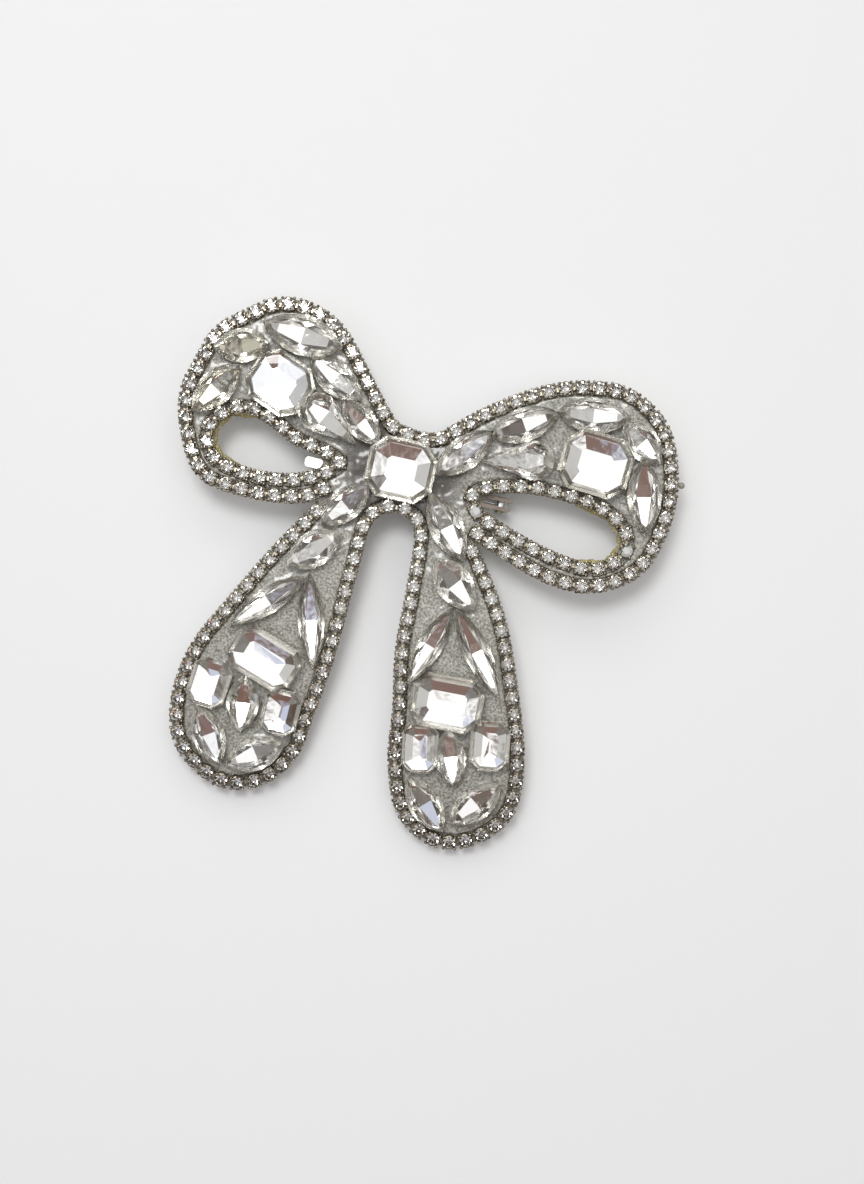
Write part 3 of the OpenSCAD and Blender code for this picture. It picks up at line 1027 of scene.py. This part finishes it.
@dataclass
class GlueBed:
    """The poured bed that the large stones are set in, with the bubbles caught in it."""

    step: float = 0.3 * MM
    depth: float = 0.55 * MM
    swell: float = 0.28 * MM
    climb: float = 0.5 * MM
    climb_reach: float = 0.6 * MM
    clear: float = 0.03 * MM
    spread: float = 0.55 * MM
    bead_count: int = 420
    bead_r: tuple[float, float] = (0.16 * MM, 0.42 * MM)
    bead_gap: float = 0.45 * MM
    seed: int = 21

    def level(self, spot: Vector, stones: BVHTree) -> float:
        """The glue's height at a spot of the flat bed: it swells, climbs the stones and never
        stands above the back facets of a stone that lies over it."""
        swell = noise.noise(spot / (3.2 * MM)) * self.swell
        swell += noise.noise(spot / (0.9 * MM)) * 0.25 * self.swell
        _, _, _, gap = stones.find_nearest(spot + Vector((0, 0, MID_STONE)))
        level = spot.z + 0.12 * MM + swell + self.climb * math.exp(-((gap / self.climb_reach) ** 2))
        under, _, _, _ = stones.ray_cast(spot - Vector((0, 0, 5 * MM)), Vector((0, 0, 1)))
        return level if under is None else min(level, under.z - self.clear)

    def run_out(self, spot: Vector, shape: BVHTree, top: float) -> Vector | None:
        """Where the glue lies at a spot beside the bed: it thins out a little way past the edge."""
        edge, gap = Vector((spot.x, spot.y, top)), math.inf
        for _ in range(3):
            edge, _, _, _ = shape.find_nearest(Vector((spot.x, spot.y, edge.z)))
            gap = (edge.xy - spot.xy).length
        if gap > self.spread:
            return None
        return Vector((spot.x, spot.y, edge.z - 0.6 * gap))

    def surface(self, bed: Object, stones: BVHTree) -> BMesh:
        """A grid over the bed's outline, raised by the glue's height, closed below."""
        low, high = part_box(bed.name)
        low, high = Vector(low), Vector(high)
        size = high - low
        bm = bmesh.new()
        bmesh.ops.create_grid(
            bm, x_segments=int(size.x / self.step), y_segments=int(size.y / self.step), size=0.5
        )
        bmesh.ops.scale(bm, vec=(size.x, size.y, 1), verts=bm.verts)
        bmesh.ops.translate(bm, vec=(low + high) / 2, verts=bm.verts)
        shape = BVHTree.FromPolygons(
            [v.co for v in bed.data.vertices], [p.vertices for p in bed.data.polygons]
        )
        down = Vector((0, 0, -1))
        outside = []
        for vert in bm.verts:
            hit, _, _, _ = shape.ray_cast(Vector((vert.co.x, vert.co.y, high.z + MM)), down)
            if hit is None:
                hit = self.run_out(vert.co, shape, high.z)
            if hit is None:
                outside.append(vert)
            else:
                vert.co.z = hit.z
        bmesh.ops.delete(bm, geom=outside, context="VERTS")
        rim = [v for v in bm.verts if v.is_boundary]
        for _ in range(4):
            bmesh.ops.smooth_vert(bm, verts=rim, factor=0.5, use_axis_x=True, use_axis_y=True)
        top = bmesh.ops.extrude_face_region(bm, geom=bm.faces[:])["geom"]
        raised = {g for g in top if isinstance(g, BMVert)}
        for vert in bm.verts:
            if vert in raised:
                vert.co.z = self.level(vert.co, stones)
            else:
                vert.co.z -= self.depth
        bmesh.ops.recalc_face_normals(bm, faces=bm.faces)
        shade_smooth(bm)
        return bm

    def beads(self, bed: Object, stones: BVHTree) -> Object:
        """Sinks bubbles and tiny glass beads into the open parts of the bed's top."""
        luck = random.Random(self.seed)
        tops = [f.center for f in bed.data.polygons if f.normal.z > 0.8]
        bm = bmesh.new()
        left = self.bead_count
        while left:
            spot = luck.choice(tops)
            _, _, _, gap = stones.find_nearest(spot)
            if gap < self.bead_gap:
                continue
            left -= 1
            add_drop(bm, spot, luck.uniform(*self.bead_r) * luck.uniform(0.6, 1), 1)
        shade_smooth(bm)
        return mesh_object("glass_beads", bm, (MilkyGlass("bead_glass", colour="#D8D9D2").build(),))

    def build(self, nodes: Nodes, stones: list[Object]) -> None:
        """Builds the bed in place of its node."""
        points: list[Vector] = []
        faces: list[list[int]] = []
        for stone in stones:
            start = len(points)
            points += [v.co for v in stone.data.vertices]
            faces += [[i + start for i in p.vertices] for p in stone.data.polygons]
        near = BVHTree.FromPolygons(points, faces)
        bm = self.surface(nodes["resin_bed"], near)
        knot_low, knot_high = (Vector(corner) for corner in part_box("stone_knot"))
        glue = ClearGlue("clear_glue", centre=tuple((knot_low + knot_high) / 2))
        piece = mesh_object("glue_bed", bm, (glue.build(),))
        beads = self.beads(piece, near)
        for part in (piece, beads):
            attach(part, "root")
        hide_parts("resin_bed")
        LOG.info("bed: %d faces", len(piece.data.polygons))


# ---- Back and pin ----------------------------------------------------------------------------


def dress(node: Object, material: Material, soften: float = 0.0) -> None:
    """Gives a CAD node one material, and rounds its sharp edges.

    Args:
        node: the CAD object, whose own mesh stays as it is.
        material: its material.
        soften: how far the rounding reaches, or 0 for none.
    """
    node.data.materials.clear()
    node.data.materials.append(material)
    if soften:
        weld = node.modifiers.new("weld", "WELD")
        weld.merge_threshold = 1e-6
        bevel = node.modifiers.new("soften", "BEVEL")
        bevel.width, bevel.segments = soften, 2
        bevel.limit_method, bevel.angle_limit = "ANGLE", math.radians(50)


@dataclass
class Back:
    """The felt, the card and the mesh, which keep their CAD shapes."""

    finishes: dict[str, Finish] = field(default_factory=lambda: {
        "felt_backing": WoolFelt("wool_felt"),
        "card_stiffener": PlainBoard("grey_card", colour="#C9C4B8"),
        "mesh_fabric": WovenMesh("woven_mesh"),
    })
    felt_edge: float = 0.22 * MM

    def build(self, nodes: Nodes) -> None:
        """Dresses the layers."""
        for name, finish in self.finishes.items():
            soften = self.felt_edge if name == "felt_backing" else 0.0
            dress(nodes[name], finish.build(), soften)
        LOG.info("back: %d layers", len(self.finishes))


@dataclass
class EdgeGlue:
    """Glue that ran over the sheet's edge at the far end of each opening."""

    openings: dict[str, int] = field(default_factory=lambda: {
        "left_ring_cups": -1, "right_ring_cups": 1,
    })
    inward: float = 1.35 * MM
    drop_r: float = 0.36 * MM
    drops: int = 7
    reach: float = 1.5 * MM
    end_share: float = 0.3
    seed: int = 3

    def build(self, nodes: Nodes) -> None:
        """Lays a run of drops along each opening's far edge, inside its ring of cups."""
        luck = random.Random(self.seed)
        bm = bmesh.new()
        for ring, side in self.openings.items():
            feet = [cup.foot() for cup in islands(nodes[ring])]
            middle = sum(feet, Vector()) / len(feet)
            low, high = min(f.x for f in feet), max(f.x for f in feet)
            strip = self.end_share * (high - low)
            end = high - strip if side > 0 else low + strip
            for foot in feet:
                if (foot.x - end) * side < 0:
                    continue
                along = (nearest_other(feet, foot) - foot).normalized()
                inwards = Vector((along.y, -along.x, 0))
                inwards = -inwards if inwards.dot(middle - foot) < 0 else inwards
                for drop in range(self.drops):
                    spot = foot + inwards * self.inward * luck.uniform(0.94, 1.06)
                    spot += along * self.reach * (2 * drop / (self.drops - 1) - 1)
                    spot.z = foot.z + luck.uniform(-0.35, -0.1) * MM
                    add_drop(bm, spot, self.drop_r * luck.uniform(0.7, 1.2), 2)
        shade_smooth(bm)
        piece = mesh_object("edge_glue", bm, (AgedGlue("aged_glue").build(),))
        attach(piece, "root")
        LOG.info("edge glue: %d faces", len(piece.data.polygons))


@dataclass
class LooseBeads:
    """A cloudy bead that the glue caught at the edge of the chain, outside it."""

    spots: dict[str, tuple[float, float]] = field(default_factory=lambda: {
        "right_loop_cups": (1.0, 0.58),
    })
    bead_r: float = 0.62 * MM
    outward: float = 1.9 * MM

    def build(self, nodes: Nodes) -> None:
        """Sets a bead against the cup nearest to each spot, on the side away from the middle."""
        bm = bmesh.new()
        for node, share in self.spots.items():
            low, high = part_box(node)
            near = part_way(low, high, share)
            feet = [cup.foot() for cup in islands(nodes[node])]
            foot = min(feet, key=lambda f: (f.xy - near).length)
            inner = nearest_other(feet, foot)
            away = Vector((foot.y - inner.y, inner.x - foot.x, 0)).normalized()
            middle = sum(feet, Vector()) / len(feet)
            away = -away if away.dot(foot - middle) < 0 else away
            spot = foot + away * self.outward + Vector((0, 0, MID_STONE))
            bmesh.ops.create_uvsphere(
                bm, u_segments=20, v_segments=12, radius=self.bead_r,
                matrix=Matrix.Translation(spot),
            )
        shade_smooth(bm)
        glass = MilkyGlass("cloudy_bead", colour="#A5A297").build()
        beads = mesh_object("loose_beads", bm, (glass,))
        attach(beads, "root")
        LOG.info("loose beads: %d", len(self.spots))


@dataclass
class BarPin:
    """The bar pin: its stamped parts, its stem, the turning catch and the glue in its two holes."""

    stamped: Sequence[str] = (
        "pin_bar", "hinge_bracket", "hinge_rivet", "catch_housing", "lock_sleeve",
    )
    soften: float = 0.1 * MM
    hole_shares: Sequence[float] = (0.297, 0.656)
    glue_r: float = 0.95 * MM

    def build(self, nodes: Nodes) -> None:
        """Dresses the pin's pieces and fills the glue holes."""
        low, high = (Vector(corner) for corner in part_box("pin_bar"))
        # the last 8 mm of the pin at +X get painted shade
        nickel = PlatedSteel("nickel_plate", shade_from=high.x - 8 * MM).build()
        brassy = PlatedSteel(
            "rubbed_plate", bright="#B9AE98", worn="#6A5640", roughness=0.3
        ).build()
        wire = PlatedSteel("steel_wire", bright="#D9DADB", worn="#B4B2AC", roughness=0.16).build()
        for name in self.stamped:
            dress(nodes[name], brassy if name.startswith("hinge") else nickel, self.soften)
        dress(nodes["pin_stem"], wire)
        bm = bmesh.new()
        for share in self.hole_shares:
            spot = part_way(low, high, (share, 0.5)).to_3d()
            spot.z = low.z + 0.12 * MM
            made = bmesh.ops.create_uvsphere(
                bm, u_segments=20, v_segments=10, radius=self.glue_r
            )["verts"]
            bmesh.ops.scale(bm, vec=(1.1, 1.05, 0.38), verts=made)
            bmesh.ops.translate(bm, vec=spot, verts=made)
        shade_smooth(bm)
        glue = mesh_object("hole_glue", bm, (AgedGlue("hole_glue", colour="#E9E2C4").build(),))
        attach(glue, "root")
        LOG.info("bar pin: %d pieces", len(self.stamped) + 1)


# ---- Studio ----------------------------------------------------------------------------------


@dataclass(frozen=True)
class RoomThing:
    """Something in the room that the crystals mirror: where it is, how wide it looks, its tone."""

    bearing: float
    height: float
    width: float
    colour: str
    gain: float = 1.0
    blur: float = 0.015

    def hang(
        self, tree: NodeTree, ray: NodeSocket, behind: NodeSocket
    ) -> NodeSocket:
        """Lays the thing over the room's tone.

        Args:
            tree: the world's node tree.
            ray: the direction looked in.
            behind: the tone behind the thing.

        Returns:
            The tone with the thing in front.
        """
        bearing, height = math.radians(self.bearing), math.radians(self.height)
        towards = (
            math.cos(height) * math.cos(bearing), math.cos(height) * math.sin(bearing),
            math.sin(height),
        )
        close = add_node(tree, "VectorMath", {
            0: ray, 1: towards,
        }, operation="DOT_PRODUCT").outputs["Value"]
        edge = math.cos(math.radians(self.width))
        share = spread_over(tree, close, (edge - self.blur, edge + self.blur), (0.0, 1.0))
        return mixed(tree, share, behind, [c * self.gain for c in linear(self.colour)])


@dataclass
class Studio:
    """The pale floor, the soft light and the camera straight above."""

    bow_turn: float = math.radians(-12.5)
    camera_height: float = 0.34
    frame_height: float = 0.2167
    picture: tuple[int, int] = (864, 1184)
    aim: tuple[float, float] = (6.38 * MM, -0.44 * MM)
    subject_z: float = 0.009
    brightness: float = 0.715
    key_place: tuple[float, float, float] = (-0.12, 0.2, 0.62)
    key_size: float = 0.22
    key_energy: float = 1.65
    things: Sequence[RoomThing] = (
        RoomThing(-78, 36, 40, "#85807A"),
        RoomThing(102, 48, 32, "#FFFFFF", gain=2.1),
        RoomThing(0, 90, 40, "#FFFFFF", gain=1.5),
        RoomThing(-84, 20, 25, "#8A6A5D"),
        RoomThing(-80, 51, 18, "#8A6A5D"),
        RoomThing(-112, 50, 12, "#CDD4EA", gain=1.3),
        RoomThing(35, 46, 7, "#5F5148"),
        RoomThing(-150, 38, 9, "#66574D"),
        RoomThing(160, 60, 5, "#D3D9EC", gain=1.3),
    )

    def camera(self) -> None:
        """A camera straight above, rolled so that the bow leans to the right."""
        data = bpy.data.cameras.new("camera")
        data.sensor_fit = "VERTICAL"
        data.sensor_height = 36
        data.sensor_width = 36 * self.picture[0] / self.picture[1]
        data.lens = 36 * (self.camera_height - self.subject_z) / self.frame_height
        data.clip_start, data.clip_end = 0.01, 10
        camera = bpy.data.objects.new("camera", data)
        camera.location = (self.aim[0], self.aim[1], self.camera_height)
        camera.rotation_euler = (0, 0, -self.bow_turn)
        bpy.context.scene.collection.objects.link(camera)
        bpy.context.scene.camera = camera

    def floor(self) -> None:
        """A wide pale board under the brooch."""
        bm = bmesh.new()
        bmesh.ops.create_grid(bm, x_segments=1, y_segments=1, size=3)
        board = mesh_object("floor", bm, (PlainBoard("pale_board", colour="#F0F1F1").build(),))

    def light(self) -> None:
        """A soft key from the upper left, and a pale room with darker and brighter things in it."""
        data = bpy.data.lights.new("key", "AREA")
        data.shape, data.size, data.energy = "DISK", self.key_size, self.key_energy
        key = bpy.data.objects.new("key", data)
        key.location = self.key_place
        key.rotation_euler = Vector(key.location).to_track_quat("Z", "Y").to_euler()
        bpy.context.scene.collection.objects.link(key)
        world = bpy.data.worlds.new("room")
        world.use_nodes = True
        tree = world.node_tree
        tree.nodes.clear()
        ray = add_node(tree, "TexCoord").outputs["Generated"]
        wobble = add_node(tree, "TexNoise", {"Vector": ray, "Scale": 5.0, "Detail": 2.0})
        shift = add_node(tree, "VectorMath", {
            0: wobble.outputs["Color"], 1: (0.5, 0.5, 0.5),
        }, operation="SUBTRACT")
        bent = add_node(tree, "VectorMath", {
            0: shift.outputs["Vector"], 1: (0.35, 0.35, 0.35), 2: ray,
        }, operation="MULTIPLY_ADD").outputs["Vector"]
        height = add_node(tree, "SeparateXYZ", {"Vector": bent}).outputs["Z"]
        colour = ramp(tree, height, [
            (0.05, "#3C342E"), (0.35, "#807A72"), (0.66, "#E2E1DE"),
        ])
        for thing in self.things:
            colour = thing.hang(tree, bent, colour)
        shine = add_node(tree, "Background", {
            "Color": colour, "Strength": self.brightness,
        })
        add_node(tree, "OutputWorld", {"Surface": shine.outputs["Background"]})
        bpy.context.scene.world = world

    def build(self) -> None:
        """Sets the whole studio."""
        self.camera()
        self.floor()
        self.light()
        scene = bpy.context.scene
        scene.view_settings.view_transform = "Standard"
        scene.cycles.glossy_bounces = 10
        LOG.info("studio set")


def main() -> None:
    """Builds the brooch piece by piece around its frame."""
    logging.basicConfig(level=logging.INFO, format="%(name)s: %(message)s")
    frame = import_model()
    nodes = frame["nodes"]
    Studio().build()
    stones = Stones().build(nodes)
    CupChains().build(nodes)
    GlueBed().build(nodes, stones)
    EdgeGlue().build(nodes)
    LooseBeads().build(nodes)
    Back().build(nodes)
    BarPin().build(nodes)


if __name__ == "__main__":
    main()
